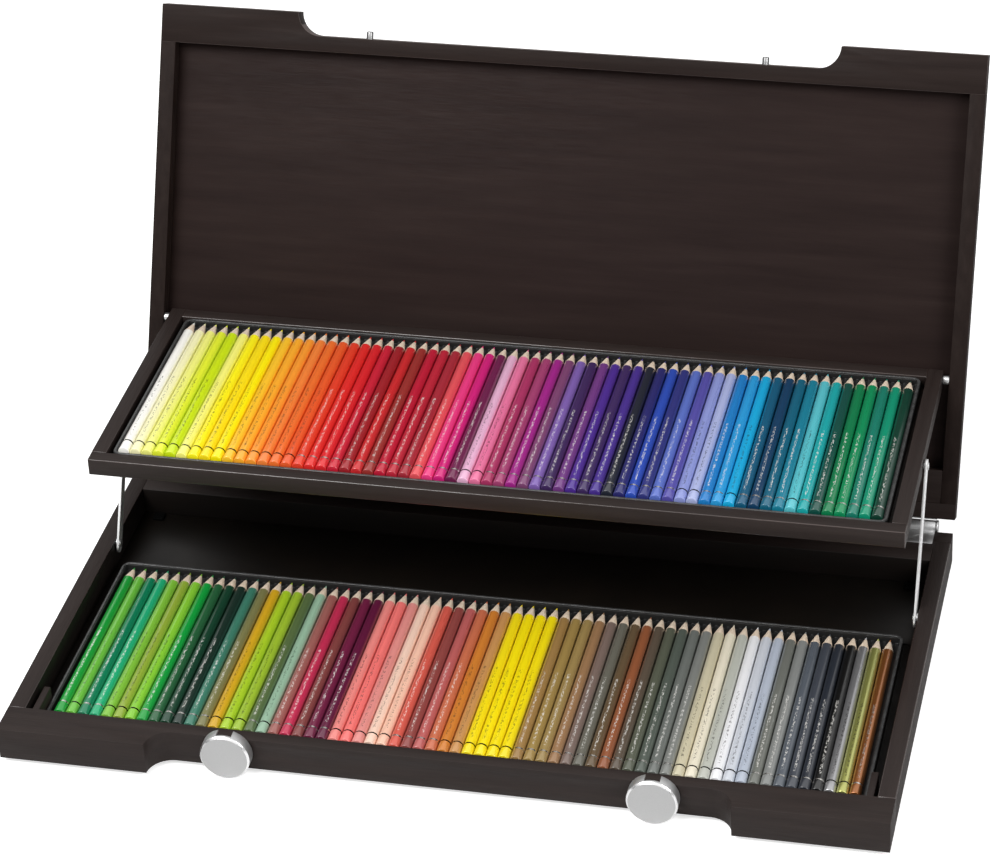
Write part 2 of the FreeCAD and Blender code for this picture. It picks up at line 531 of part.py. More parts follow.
def insert(name, x0, y0, z0, wide, deep, high, axis_z, first_x, count, hollow):
    """A formed tray with one rounded groove for each pencil."""
    body = doc.addObject("PartDesign::Body", name)
    outline = sketch_on(body, name + "_outline", "XY_Plane", z0)
    rectangle(outline, x0, y0, "%s + %s" % (x0, wide), "%s + %s" % (y0, deep))
    pad = body.newObject("PartDesign::Pad", name + "_pad")
    pad.Profile = outline
    bind(pad, Length=high)
    doc.recompute()
    uprights = ["Edge%d" % (i + 1) for i, e in enumerate(pad.Shape.Edges)
                if abs(e.tangentAt(e.FirstParameter).z) > 0.99]
    round_off = body.newObject("PartDesign::Fillet", name + "_corners")
    round_off.Base = (pad, uprights)
    bind(round_off, Radius="insert_r")
    well = sketch_on(body, name + "_well_outline", "XY_Plane", "%s + %s" % (z0, high))
    rectangle(well, "%s + insert_rim" % x0, "%s + insert_rim" % y0,
              "%s + %s - insert_rim" % (x0, wide), "%s + %s - insert_rim" % (y0, deep))
    pocket = body.newObject("PartDesign::Pocket", name + "_well")
    pocket.Profile = well
    bind(pocket, Length="%s + %s - (%s) + groove_land" % (z0, high, axis_z))
    last = pocket
    if hollow:
        under = sketch_on(body, name + "_under_outline", "XY_Plane", z0)
        rectangle(under, "%s + insert_rim" % x0, "%s + insert_rim" % y0,
                  "%s + %s - insert_rim" % (x0, wide), "%s + %s - insert_rim" % (y0, deep))
        cavity = body.newObject("PartDesign::Pocket", name + "_under")
        cavity.Profile = under
        cavity.Reversed = True
        bind(cavity, Length="%s - pencil_r - insert_skin - (%s)" % (axis_z, z0))
        last = cavity
    doc.recompute()
    ring = sketch_on(body, name + "_groove_outline", "XZ_Plane", "-(%s) - insert_rim" % y0)
    ring.addGeometry(Part.Circle(V(0, 0, 0), V(0, 0, 1), 4.0), False)
    for kind, text in (("DistanceX", first_x), ("DistanceY", axis_z)):
        spot = ring.addConstraint(Sketcher.Constraint(kind, -1, 1, 0, 3, 5.0))
        bind(ring, **{"Constraints[%d]" % spot: text})
    spot = ring.addConstraint(Sketcher.Constraint("Radius", 0, 4.0))
    bind(ring, **{"Constraints[%d]" % spot: "pencil_r + groove_slack"})
    groove = body.newObject("PartDesign::Pocket", name + "_groove")
    groove.Profile = ring
    bind(groove, Length="%s - 2 * insert_rim" % deep)
    groove.Reversed = False
    body.Tip = groove
    doc.recompute()
    print(name, "groove removes", round(last.Shape.Volume - groove.Shape.Volume, 1))
    repeat = body.newObject("PartDesign::LinearPattern", name + "_grooves")
    repeat.Originals = [groove]
    repeat.Direction = (ring, ["H_Axis"])
    repeat.Occurrences = count
    bind(repeat, Length="%d * pencil_pitch" % (count - 1))
    body.Tip = repeat
    doc.recompute()
    print(name, "grooves remove", round(last.Shape.Volume - repeat.Shape.Volume, 1))
    return node(body, name)


insert("lower_insert", "-insert_w / 2", "front_y + insert_y", "foot_h + floor_t", "insert_w", "insert_d",
       "(insert_top - floor_t)", "foot_h + lower_z", "-%g * pencil_pitch" % ((LOWER_COUNT - 1) / 2),
       LOWER_COUNT, False)
insert("upper_insert", "-upper_insert_w / 2", "tray_y + tray_rail + 0.5", "tray_bottom + tray_floor_t",
       "upper_insert_w", "upper_insert_d", "(tray_h - tray_floor_t - upper_insert_drop)",
       "tray_top - upper_z", "-%g * pencil_pitch" % ((UPPER_COUNT - 1) / 2), UPPER_COUNT, True)

# ---- pencils ----------------------------------------------------------------------
# One pencil is drawn along +Y from its blunt end, then repeated at the pitch.

def turned(name, profile):
    """A solid of revolution about the Y axis from (radius, y) corners."""
    wire = Part.makePolygon([V(r, y, 0) for r, y in profile + profile[:1]])
    obj = doc.addObject("Part::Feature", name)
    obj.Shape = Part.Face(wire).revolve(V(0, 0, 0), V(0, 1, 0), 360)
    return obj


shoulder = dims["pencil_l"] - dims["cone_l"]
bare = dims["cone_l"] * (dims["pencil_r"] - dims["lead_r"]) / (dims["pencil_r"] - dims["lead_tip_r"])
casing = turned("pencil_casing", [(dims["lead_r"], 0), (dims["pencil_r"], 0), (dims["pencil_r"], shoulder),
                                  (dims["lead_r"], shoulder + bare)])
lead = turned("pencil_lead", [(0, 0), (dims["lead_r"], 0), (dims["lead_r"], shoulder + bare),
                              (dims["lead_tip_r"], dims["pencil_l"]), (0, dims["pencil_l"])])


def pencils(label, master, first, last, count, y, z):
    """Copies of one pencil piece in the places first to last of a row of count."""
    copies = []
    for i in range(first, last):
        copy = master.Shape.copy()
        copy.translate(V((i - (count - 1) / 2) * dims["pencil_pitch"], y, z))
        copies.append(copy)
    obj = doc.addObject("Part::Feature", label)
    obj.Shape = Part.makeCompound(copies)
    return node(obj, label)


upper_row = "yellow:12 orange:16 red:26 pink:35 violet:42 blue:50 turquoise:57 green:64"
lower_row = "green:10 olive:17 crimson:23 flesh:33 ochre:41 brown:47 grey:63 metallic:66"
for tier, families, count, y, z in [
        ("upper", upper_row, UPPER_COUNT, dims["tray_y"] + dims["upper_y"], dims["tray_top"] - dims["upper_z"]),
        ("lower", lower_row, LOWER_COUNT, dims["front_y"] + dims["lower_y"], dims["foot_h"] + dims["lower_z"])]:
    first = 0
    for entry in families.split():
        family, last = entry.split(":")
        pencils("%s_pencils_%s" % (tier, family), casing, first, int(last), count, y, z)
        first = int(last)
    pencils("%s_pencil_leads" % tier, lead, 0, count, count, y, z)

# ---- check and export ---------------------------------------------------------------

doc.recompute()
for obj in doc.Objects:
    if "Invalid" in obj.State or "Error" in obj.State:
        raise RuntimeError("%s did not build: %s" % (obj.Label, obj.State))
for obj in nodes:
    shape = obj.Shape
    if shape.isNull() or not shape.isValid():
        raise RuntimeError(obj.Label + " has no valid shape")
    if obj.isDerivedFrom("Part::Compound") or len(shape.Solids) == 1:
        print(obj.Label, len(shape.Solids), round(shape.Volume / 1000, 2))
    shape.exportStep("parts/%s.step" % obj.Label)
print("nodes:", len(nodes))
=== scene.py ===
import bpy
from math import cos, pi, radians, sin
from mathutils import Matrix, Vector


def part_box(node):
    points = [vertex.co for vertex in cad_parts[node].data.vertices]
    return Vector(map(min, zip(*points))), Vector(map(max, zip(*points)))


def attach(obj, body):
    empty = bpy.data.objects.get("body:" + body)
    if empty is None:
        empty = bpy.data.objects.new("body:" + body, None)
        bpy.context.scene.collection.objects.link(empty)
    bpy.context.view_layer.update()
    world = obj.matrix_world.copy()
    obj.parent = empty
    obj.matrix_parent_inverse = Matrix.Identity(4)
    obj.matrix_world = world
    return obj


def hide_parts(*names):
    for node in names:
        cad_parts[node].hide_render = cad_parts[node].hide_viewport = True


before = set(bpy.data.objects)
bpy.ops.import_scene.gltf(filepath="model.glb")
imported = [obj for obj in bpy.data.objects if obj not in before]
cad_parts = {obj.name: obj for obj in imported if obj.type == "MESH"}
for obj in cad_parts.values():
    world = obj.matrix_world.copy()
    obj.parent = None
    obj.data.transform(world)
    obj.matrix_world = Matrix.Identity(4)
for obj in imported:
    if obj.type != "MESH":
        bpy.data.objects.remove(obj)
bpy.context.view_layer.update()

# ---- Base boards ---------------------------------------------------------------
# Solid boards, butted and glued, with a dark stain over an open, fine grain. The
# front one has a finger recess with a round cove at each end. Inner faces are
# stained near black, which also paints the shade that falls inside the case, and
# every edge is lightly eased; the side walls' eased edges are painted pale, a painted highlight.

SAME_POINT = 0.000002
SAME_PLANE = radians(0.6)
SOFT_ANGLE = radians(35)


def only(*objects):
    """Select these objects and nothing else."""
    bpy.ops.object.select_all(action="DESELECT")
    for item in objects:
        item.select_set(True)
    bpy.context.view_layer.objects.active = objects[0]


def copy_of_node(node, name):
    """A merged copy of a solid's mesh, ready to shape."""
    piece = bpy.data.objects.new(name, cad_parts[node].data.copy())
    bpy.context.scene.collection.objects.link(piece)
    piece.data.materials.clear()
    only(piece)
    bpy.ops.object.mode_set(mode="EDIT")
    bpy.ops.mesh.select_all(action="SELECT")
    bpy.ops.mesh.remove_doubles(threshold=SAME_POINT)
    bpy.ops.mesh.dissolve_limited(angle_limit=SAME_PLANE)
    bpy.ops.object.mode_set(mode="OBJECT")
    return piece


def ease_edges(piece, width, segments=2, angle=30, edge_slot=-1):
    """Round every edge sharper than angle, as sandpaper does."""
    only(piece)
    bevel = piece.modifiers.new("eased", "BEVEL")
    bevel.width = width
    bevel.segments = segments
    bevel.limit_method = "ANGLE"
    bevel.angle_limit = radians(angle)
    bevel.miter_outer = "MITER_ARC"
    bevel.material = edge_slot
    bpy.ops.object.modifier_apply(modifier="eased")
    bpy.ops.object.shade_smooth_by_angle(angle=SOFT_ANGLE)


def stand_for(piece, node, body):
    """Put a finished piece in a node's place, on the body that carries it."""
    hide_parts(node)
    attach(piece, body)


class NodeWork:
    """The nodes of a material or of the world while they are put together."""

    def __init__(self, tree):
        self.nodes = tree.nodes
        self.links = tree.links

    def add(self, kind, **settings):
        node = self.nodes.new("ShaderNode" + kind)
        for setting, value in settings.items():
            setattr(node, setting, value)
        return node

    def feed(self, socket, source):
        """Link an output to a socket, or set the socket to a plain number."""
        if isinstance(source, (int, float)):
            socket.default_value = source
        else:
            self.links.new(source, socket)

    def ramp(self, fac, *stops):
        """A colour ramp; each stop is a place and a grey or a colour."""
        node = self.add("ValToRGB")
        marks = node.color_ramp.elements
        while len(marks) < len(stops):
            marks.new(0.5)
        for mark, (spot, tone) in zip(marks, stops):
            mark.position = spot
            mark.color = (tone, tone, tone, 1) if isinstance(tone, float) else (*tone, 1)
        self.feed(node.inputs["Fac"], fac)
        return node.outputs["Color"]


class Finish(NodeWork):
    """A surface finish: one material with its shader and its patterns."""

    def __init__(self, name):
        self.material = bpy.data.materials.new(name)
        self.material.use_nodes = True
        super().__init__(self.material.node_tree)
        self.shader = self.nodes["Principled BSDF"]

    def set(self, **values):
        """Set the shader's sockets, such as Coat_Weight, to plain values."""
        for socket, value in values.items():
            self.shader.inputs[socket.replace("_", " ")].default_value = value

    def drive(self, socket, fac, *stops):
        """Drive a socket of the shader by a pattern through a ramp."""
        self.feed(self.shader.inputs[socket], self.ramp(fac, *stops))

    def pattern(self, scale, detail, rough, stretch=(1, 1, 1)):
        """Noise in the piece's own place, squeezed along the axes by stretch."""
        place = self.add("TexCoord")
        mapping = self.add("Mapping")
        mapping.inputs["Scale"].default_value = stretch
        self.feed(mapping.inputs["Vector"], place.outputs["Object"])
        node = self.add("TexNoise")
        node.inputs["Scale"].default_value = scale
        node.inputs["Detail"].default_value = detail
        node.inputs["Roughness"].default_value = rough
        self.feed(node.inputs["Vector"], mapping.outputs["Vector"])
        return node.outputs["Fac"]

    def bump(self, height, strength, distance):
        node = self.add("Bump")
        node.inputs["Strength"].default_value = strength
        node.inputs["Distance"].default_value = distance
        self.feed(node.inputs["Height"], height)
        self.feed(self.shader.inputs["Normal"], node.outputs["Normal"])


def stained_wood(name, along, tone=0.70, shine=0.26, smooth=1.0):
    """Dark stained wood whose grain runs along one axis, with open pores."""
    finish = Finish(name)
    stretch = {"X": (1, 22, 22), "Y": (22, 1, 22), "Z": (22, 22, 1)}[along]
    fine_stretch = tuple(5 if squeeze == 1 else 6 * squeeze for squeeze in stretch)
    dark = (0.0165 * tone, 0.0098 * tone, 0.0082 * tone)
    mid = (0.0225 * tone, 0.0142 * tone, 0.0120 * tone)
    pale = (0.0310 * tone, 0.0205 * tone, 0.0175 * tone)
    streaks = finish.pattern(scale=9.0, detail=6.0, rough=0.6, stretch=stretch)
    finish.drive("Base Color", streaks, (0.28, dark), (0.52, mid), (0.78, pale))
    pores = finish.pattern(scale=14.0, detail=3.0, rough=0.5, stretch=fine_stretch)
    finish.drive("Roughness", pores, (0.35, 0.66 * smooth), (0.65, 0.50 * smooth))
    finish.bump(pores, strength=0.30, distance=0.0002)
    finish.set(Specular_IOR_Level=shine)
    return finish.material


def black_stain_and_painted_shade():
    """The stain, near black, on the base's inner faces; it also paints the shade that falls there
    under the tray.
    """
    finish = Finish("black stain and painted shade")
    cloud = finish.pattern(scale=12.0, detail=5.0, rough=0.6, stretch=(1, 6, 6))
    finish.drive("Base Color", cloud, (0.3, (0.0040, 0.0028, 0.0022)), (0.7, (0.0075, 0.0052, 0.0042)))
    finish.drive("Roughness", cloud, (0.3, 0.62), (0.7, 0.50))
    finish.set(Specular_IOR_Level=0.18)
    return finish.material


wood_x = stained_wood("stained wood along X", "X")
wood_y = stained_wood("stained wood along Y", "Y")
# Lighter, glossier wood for eased edges: a painted highlight where the edges catch the lamp.
polished_edge_painted_highlight = stained_wood("polished edge with painted highlight", "X", tone=1.6, shine=0.9, smooth=0.42)
# Inner faces: partly a dark stain, partly painted shade for the dark inside of the case under the
# tray.
inner_black_and_painted_shade = black_stain_and_painted_shade()


def facing(direction, least=0.7):
    """A test that picks the faces which look along a direction."""
    return lambda face: face.normal.dot(Vector(direction)) > least


def board(node, body, material, ease=0.0006, inner=None, stain=inner_black_and_painted_shade, edge=None):
    """A board; the faces that inner picks take the stain, and the eased edges take edge. Both are also
    used to paint shade, highlights and reflections onto the board.
    """
    piece = copy_of_node(node, node + "_board")
    piece.data.materials.append(material)
    if edge:
        piece.data.materials.append(edge)
    ease_edges(piece, ease, edge_slot=1 if edge else -1)
    if inner:
        piece.data.materials.append(stain)
        for face in filter(inner, piece.data.polygons):
            face.material_index = len(piece.data.materials) - 1
    stand_for(piece, node, body)


board("base_front_wall", "base", wood_x, inner=facing((0, 1, 0)))
board("base_rear_wall", "base", wood_x)
board("base_rear_filler", "base", wood_x, inner=facing((0, -1, 0)))
board("base_left_wall", "base", wood_y, inner=facing((1, 0, 0)), edge=polished_edge_painted_highlight)
board("base_right_wall", "base", wood_y, inner=facing((-1, 0, 0)), edge=polished_edge_painted_highlight)
board("corner_blocks", "base", wood_y, ease=0.0004)
board("base_floor", "base", wood_x, ease=0.0003, inner=facing((0, 0, 1)))

# ---- Lid frame -----------------------------------------------------------------
# Four rails and a filler strip round a thin panel. The grain runs with each rail.
# The front rail's outer edge, which hands hold, is painted pale and made very shiny: a painted
# reflection of the bright backdrop at a grazing angle.

LEAN = radians(25.5)
up_the_lid = Vector((0, sin(LEAN), cos(LEAN)))
wood_lid = stained_wood("stained wood along the lid", "X", tone=0.66, shine=0.10)
wood_lean = stained_wood("stained wood up the lid", "Z", tone=0.62, shine=0.08)
# Pale colour for the front rail's outer face and eased edges: a painted reflection of the backdrop.
lid_edge_painted_reflection = stained_wood("lid edge with painted reflection", "X", tone=2.6, shine=1.0)
board("lid_front_rail", "lid", wood_lid, ease=0.0014, inner=facing(up_the_lid, 0.55),
      stain=lid_edge_painted_reflection, edge=lid_edge_painted_reflection)
board("lid_rear_rail", "lid", wood_lid)
board("lid_rear_filler", "lid", wood_lid)
board("lid_left_stile", "lid", wood_lean)
board("lid_right_stile", "lid", wood_lean)

# ---- Lid panel -------------------------------------------------------------------
# A veneered sheet, set into the frame from outside. Its figure runs across the lid,
# and its stain is a little redder than the frame's.


def veneer():
    finish = Finish("lid veneer")
    dark, mid, pale = (0.0120, 0.0066, 0.0058), (0.0162, 0.0094, 0.0082), (0.0215, 0.0133, 0.0115)
    streaks = finish.pattern(scale=7.0, detail=7.0, rough=0.62, stretch=(1, 14, 14))
    finish.drive("Base Color", streaks, (0.30, dark), (0.55, mid), (0.80, pale))
    pores = finish.pattern(scale=14.0, detail=3.0, rough=0.5, stretch=(4, 110, 110))
    finish.drive("Roughness", pores, (0.35, 0.66), (0.65, 0.50))
    finish.bump(pores, strength=0.25, distance=0.0002)
    finish.set(Specular_IOR_Level=0.08)
    return finish.material


board("lid_panel", "lid", veneer(), ease=0.0003)

# ---- Upper tray --------------------------------------------------------------------
# Four narrow rails round a thin floor, of the base's wood. Their eased edges are polished
# and painted pale, a painted highlight. The lid carries it on two pins, and the links
# hold it level.

for side, grain in (("front", wood_x), ("rear", wood_x), ("left", wood_y), ("right", wood_y)):
    board("tray_" + side + "_rail", "tray", grain, ease=0.0005, edge=polished_edge_painted_highlight)
board("tray_floor", "tray", wood_x, ease=0.0003)

# ---- Formed inserts ----------------------------------------------------------------
# Black vacuum-formed sheet with one groove for each pencil and a rolled rim that is
# coloured grey, lighter than the sheet. A black liner covers the floor behind the lower one.

RIM_CORNER = 0.006
RIM_WIDTH = 0.0019
RIM_HEIGHT = 0.0009
RIM_ROUND = 0.0007
RIM_INSIDE = 0.0003     # inside the insert's edge
RIM_SUNK = 0.0002       # into the insert's top


def formed_sheet():
    finish = Finish("formed black sheet")
    cloud = finish.pattern(scale=60.0, detail=5.0, rough=0.6)
    finish.drive("Base Color", cloud, (0.3, 0.0055), (0.7, 0.0095))
    finish.drive("Roughness", cloud, (0.3, 0.50), (0.7, 0.38))
    grain = finish.pattern(scale=2600.0, detail=2.0, rough=0.5)
    finish.bump(grain, strength=0.25, distance=0.0001)
    return finish.material


def rolled_edge():
    finish = Finish("rolled rim")
    # The rim is coloured grey, much lighter than the sheet it is rolled from.
    rim_mottle = finish.pattern(scale=140.0, detail=4.0, rough=0.6)
    finish.drive("Base Color", rim_mottle, (0.35, 0.030), (0.65, 0.060))
    finish.drive("Roughness", rim_mottle, (0.3, 0.30), (0.7, 0.22))
    return finish.material


def painted_liner():
    finish = Finish("black liner")
    cloud = finish.pattern(scale=30.0, detail=5.0, rough=0.6)
    finish.drive("Base Color", cloud, (0.3, (0.0035, 0.0026, 0.0020)), (0.7, (0.0065, 0.0048, 0.0036)))
    finish.drive("Roughness", cloud, (0.3, 0.42), (0.7, 0.34))
    finish.set(Specular_IOR_Level=0.22)
    return finish.material


def lay_insert(node, body, material):
    piece = copy_of_node(node, node + "_sheet")
    ease_edges(piece, width=0.0004, angle=40)
    piece.data.materials.append(material)
    stand_for(piece, node, body)


def roll_rim(name, node, body, material):
    """The rolled rim: a rounded frame that follows the insert's outer edge."""
    low, high = (Vector(corner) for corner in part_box(node))
    centre = (low + high) / 2
    size = high - low
    bpy.ops.object.select_all(action="DESELECT")
    bpy.ops.mesh.primitive_plane_add(size=1, location=(centre.x, centre.y, high.z - RIM_SUNK))
    rim = bpy.context.object
    rim.name = name
    rim.scale = (size.x - 2 * RIM_INSIDE, size.y - 2 * RIM_INSIDE, 1)
    bpy.ops.object.transform_apply(location=True, rotation=True, scale=True)
    bpy.ops.object.mode_set(mode="EDIT")
    bpy.ops.mesh.select_all(action="SELECT")
    bpy.ops.mesh.bevel(offset=RIM_CORNER, segments=8, affect="VERTICES")
    bpy.ops.mesh.inset(thickness=RIM_WIDTH, depth=0)
    bpy.ops.mesh.delete(type="FACE")
    bpy.ops.mesh.select_all(action="SELECT")
    bpy.ops.mesh.extrude_region_move(TRANSFORM_OT_translate={"value": (0, 0, RIM_HEIGHT)})
    bpy.ops.object.mode_set(mode="OBJECT")
    only(rim)
    bevel = rim.modifiers.new("rolled", "BEVEL")
    bevel.width = RIM_ROUND
    bevel.segments = 4
    bevel.limit_method = "ANGLE"
    bpy.ops.object.modifier_apply(modifier="rolled")
    bpy.ops.object.mode_set(mode="EDIT")
    bpy.ops.mesh.select_all(action="SELECT")
    bpy.ops.mesh.normals_make_consistent(inside=False)
    bpy.ops.object.mode_set(mode="OBJECT")
    bpy.ops.object.shade_smooth_by_angle(angle=radians(40))
    rim.data.materials.append(material)
    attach(rim, body)


black_sheet = formed_sheet()
rim_sheet = rolled_edge()
for tier, body in (("lower", "base"), ("upper", "tray")):
    lay_insert(tier + "_insert", body, black_sheet)
    roll_rim(tier + "_insert_rim", tier + "_insert", body, rim_sheet)

liner = copy_of_node("floor_liner", "floor_liner_sheet")
ease_edges(liner, width=0.0002)
liner.data.materials.append(painted_liner())
stand_for(liner, "floor_liner", "base")

# ---- Pencils -------------------------------------------------------------------------
# Round pencils of standard length: a lacquered casing with a thin foil ring and a
# line of foil flecks, a sharpened cone of bare cedar, and a coloured lead. Each is
# measured from its blunt end.

PITCH = 0.0084
LENGTH = 0.175
RADIUS = 0.00405
BUTT_ROUND = 0.0005
CONE = 0.0155           # length of the sharpened end
POINT = 0.0002          # radius that the cone runs down to
LEAD = 0.0011
STRAIGHT = LENGTH - CONE
BARE = CONE * (RADIUS - LEAD) / (RADIUS - POINT)    # length of the cedar's share

LEAD_GAP = 0.00004      # between the lead and the cedar round it
LEAD_BURIED = 0.002     # length of lead that is made inside the cedar
NIB = 0.0004            # length of the lead's tip before it is blunted
NIB_LEFT = 0.00035

RING_START = 0.0097
RING_END = RING_START + 0.0013
FLECK_START = 0.016
FLECK_END = 0.096
FLECK_HALF_WIDTH = 0.00084
FLECK_LEVEL = 0.53      # how much of the noise is left bare
FLECK_COVER = 0.65
UPWARD = 0.5            # flecks lie only where the lacquer looks up
PALE = 0.30             # lacquer lighter than this turns the foil's look to black
SILVER = (0.80, 0.78, 0.74)
BLACK = (0.02, 0.018, 0.016)


def tube_along_y(name, sides, radius, start, end):
    """A cylinder round the Y axis, from start to end."""
    bpy.ops.object.select_all(action="DESELECT")
    bpy.ops.mesh.primitive_cylinder_add(vertices=sides, radius=radius, depth=end - start,
                                        location=(0, (start + end) / 2, 0),
                                        rotation=(-pi / 2, 0, 0))
    piece = bpy.context.object
    piece.name = name
    bpy.ops.object.transform_apply(location=True, rotation=True, scale=True)
    return piece


def pick_end(piece, at):
    """Select the flat end of a tube that lies at this Y, in edit mode."""
    bpy.ops.object.mode_set(mode="EDIT")
    bpy.ops.mesh.select_mode(type="FACE")
    bpy.ops.mesh.select_all(action="DESELECT")
    bpy.ops.object.mode_set(mode="OBJECT")
    for face in piece.data.polygons:
        at_end = abs(face.center.y - at) < 0.00001
        face.select = at_end and abs(face.normal.y) > 0.9
    bpy.ops.object.mode_set(mode="EDIT")


def draw_out(length, at, shrink):
    """Extrude the selected end of a tube and taper it."""
    bpy.ops.mesh.extrude_region_move(TRANSFORM_OT_translate={"value": (0, length, 0)})
    bpy.ops.transform.resize(value=(shrink, 1, shrink), center_override=(0, at + length, 0))


def make_casing(lacquered, cone, ring):
    body = tube_along_y("casing", sides=28, radius=RADIUS, start=0, end=STRAIGHT)
    pick_end(body, 0)
    bpy.ops.mesh.bevel(offset=BUTT_ROUND, segments=3, affect="EDGES")
    pick_end(body, STRAIGHT)
    draw_out(BARE, STRAIGHT, shrink=LEAD / RADIUS)
    for cut in (RING_START, RING_END):
        bpy.ops.mesh.select_all(action="SELECT")
        bpy.ops.mesh.bisect(plane_co=(0, cut, 0), plane_no=(0, 1, 0))
    bpy.ops.object.mode_set(mode="OBJECT")
    for material in (lacquered, cone, ring):
        body.data.materials.append(material)
    for face in body.data.polygons:
        middle = face.center.y
        in_ring = RING_START < middle < RING_END
        face.material_index = 1 if middle > STRAIGHT else 2 if in_ring else 0
    only(body)
    bpy.ops.object.shade_smooth_by_angle(angle=radians(40))
    return body


def make_lead(material):
    bare_end = STRAIGHT + BARE
    core = tube_along_y("lead", sides=16, radius=LEAD - LEAD_GAP,
                        start=bare_end - LEAD_BURIED, end=bare_end)
    pick_end(core, bare_end)
    draw_out(CONE - BARE - NIB, bare_end, shrink=0.30)
    draw_out(NIB_LEFT, STRAIGHT + CONE - NIB, shrink=0.4)
    bpy.ops.object.mode_set(mode="OBJECT")
    core.data.materials.append(material)
    only(core)
    bpy.ops.object.shade_smooth_by_angle(angle=radians(50))
    return core


class PencilFinish(Finish):
    """A finish that reads the colours which each pencil's mesh carries."""

    def attribute(self, name):
        return self.add("Attribute", attribute_name=name).outputs["Color"]

    def mix(self, fac, first, second, blend_type="MIX"):
        node = self.add("Mix", data_type="RGBA", blend_type=blend_type)
        self.feed(node.inputs["Factor"], fac)
        self.feed(node.inputs["A"], first)
        self.feed(node.inputs["B"], second)
        return node.outputs["Result"]

    def shaded(self, name, pattern, *stops):
        """A mesh's own colour, darkened here and there by a pattern."""
        return self.mix(1.0, self.attribute(name), self.ramp(pattern, *stops), "MULTIPLY")


def maths(work, operation, first, second=0.0):
    """A maths node on sockets or numbers."""
    node = work.add("Math", operation=operation)
    work.feed(node.inputs[0], first)
    work.feed(node.inputs[1], second)
    return node.outputs[0]


def lacquer(name, start_y, metallic=0.0):
    """Lacquer in each pencil's own colour, with a line of foil flecks on top."""
    finish = PencilFinish(name)
    place = finish.add("TexCoord")
    parts = finish.add("SeparateXYZ")
    finish.feed(parts.inputs[0], place.outputs["Object"])
    in_pitches = maths(finish, "FRACT", maths(finish, "DIVIDE", parts.outputs["X"], PITCH))
    aside = maths(finish, "ABSOLUTE", maths(finish, "SUBTRACT", in_pitches, 0.5))
    along = maths(finish, "SUBTRACT", parts.outputs["Y"], start_y)
    geometry = finish.add("NewGeometry")
    normal = finish.add("SeparateXYZ")
    finish.feed(normal.inputs[0], geometry.outputs["Normal"])
    flecks = finish.pattern(scale=1.0, detail=3.0, rough=0.7, stretch=(900, 420, 0))
    cover = FLECK_COVER
    for test, value, limit in (("GREATER_THAN", flecks, FLECK_LEVEL),
                               ("GREATER_THAN", along, FLECK_START),
                               ("LESS_THAN", along, FLECK_END),
                               ("LESS_THAN", aside, FLECK_HALF_WIDTH / PITCH),
                               ("GREATER_THAN", normal.outputs["Z"], UPWARD)):
        cover = maths(finish, "MULTIPLY", cover, maths(finish, test, value, limit))

    haze = finish.pattern(scale=6.0, detail=4.0, rough=0.55, stretch=(40, 1.5, 40))
    plain = finish.shaded("pigment", haze, (0.3, 0.94), (0.7, 1.0))
    marked = finish.mix(cover, plain, finish.attribute("foil"))
    finish.feed(finish.shader.inputs["Base Color"], marked)
    finish.drive("Roughness", haze, (0.3, 0.34), (0.7, 0.26))
    finish.set(Metallic=metallic, Coat_Weight=0.8, Coat_Roughness=0.06)
    return finish.material


def bare_cedar():
    finish = Finish("bare cedar")
    grain = finish.pattern(scale=1.0, detail=4.0, rough=0.6, stretch=(900, 60, 900))
    finish.drive("Base Color", grain, (0.3, (0.56, 0.44, 0.33)), (0.7, (0.76, 0.64, 0.51)))
    finish.set(Roughness=0.62)
    finish.bump(grain, strength=0.3, distance=0.0001)
    return finish.material


def foil():
    finish = PencilFinish("ring foil")
    rub = finish.pattern(scale=2.0, detail=3.0, rough=0.5, stretch=(300, 300, 300))
    tone = finish.shaded("foil", rub, (0.3, 0.75), (0.6, 1.0))
    finish.feed(finish.shader.inputs["Base Color"], tone)
    finish.set(Roughness=0.25, Metallic=1.0)
    return finish.material


def wax_lead():
    finish = PencilFinish("coloured lead")
    speck = finish.pattern(scale=1800.0, detail=3.0, rough=0.5)
    tone = finish.shaded("pigment", speck, (0.3, 0.8), (0.7, 1.0))
    finish.feed(finish.shader.inputs["Base Color"], tone)
    finish.set(Roughness=0.5)
    return finish.material


# Each tray's row from left to right. One code is the lacquer of one pencil.
upper_colours = {
    "yellow": "FBF9F2 F9F5C0 F2F280 E4EE34 CCE414 F8F47A FDF018 FCE014 FFEC04 FCC42C FAAC2C F89A30",
    "orange": "F28238 EE702C E85A28 E23E26",
    "red": "DF2A27 D8232A C91F36 9E2028 C8282C 97302C BC1A36 BA2438 A52A38 E2525A",
    "pink": "E83A80 D02078 6C1F4A E4B0CE E6749E AA3462 A2406E A02486 7C446E",
    "violet": "7C5EAA 3E2758 703A80 4C2C8E 3E2A5C 48308C 222632",
    "blue": "2A2A6A 2C4CB0 303478 5A6FC0 544EA2 8C96D2 A9B2DC 1F7CC2",
    "turquoise": "2A98D4 14A8DA 125878 123C5E 12607A 177C94 58BEC8",
    "green": "1AA3A4 104C42 0C7A4A 0A8A56 187A66 0A906E 0C3A2C",
}
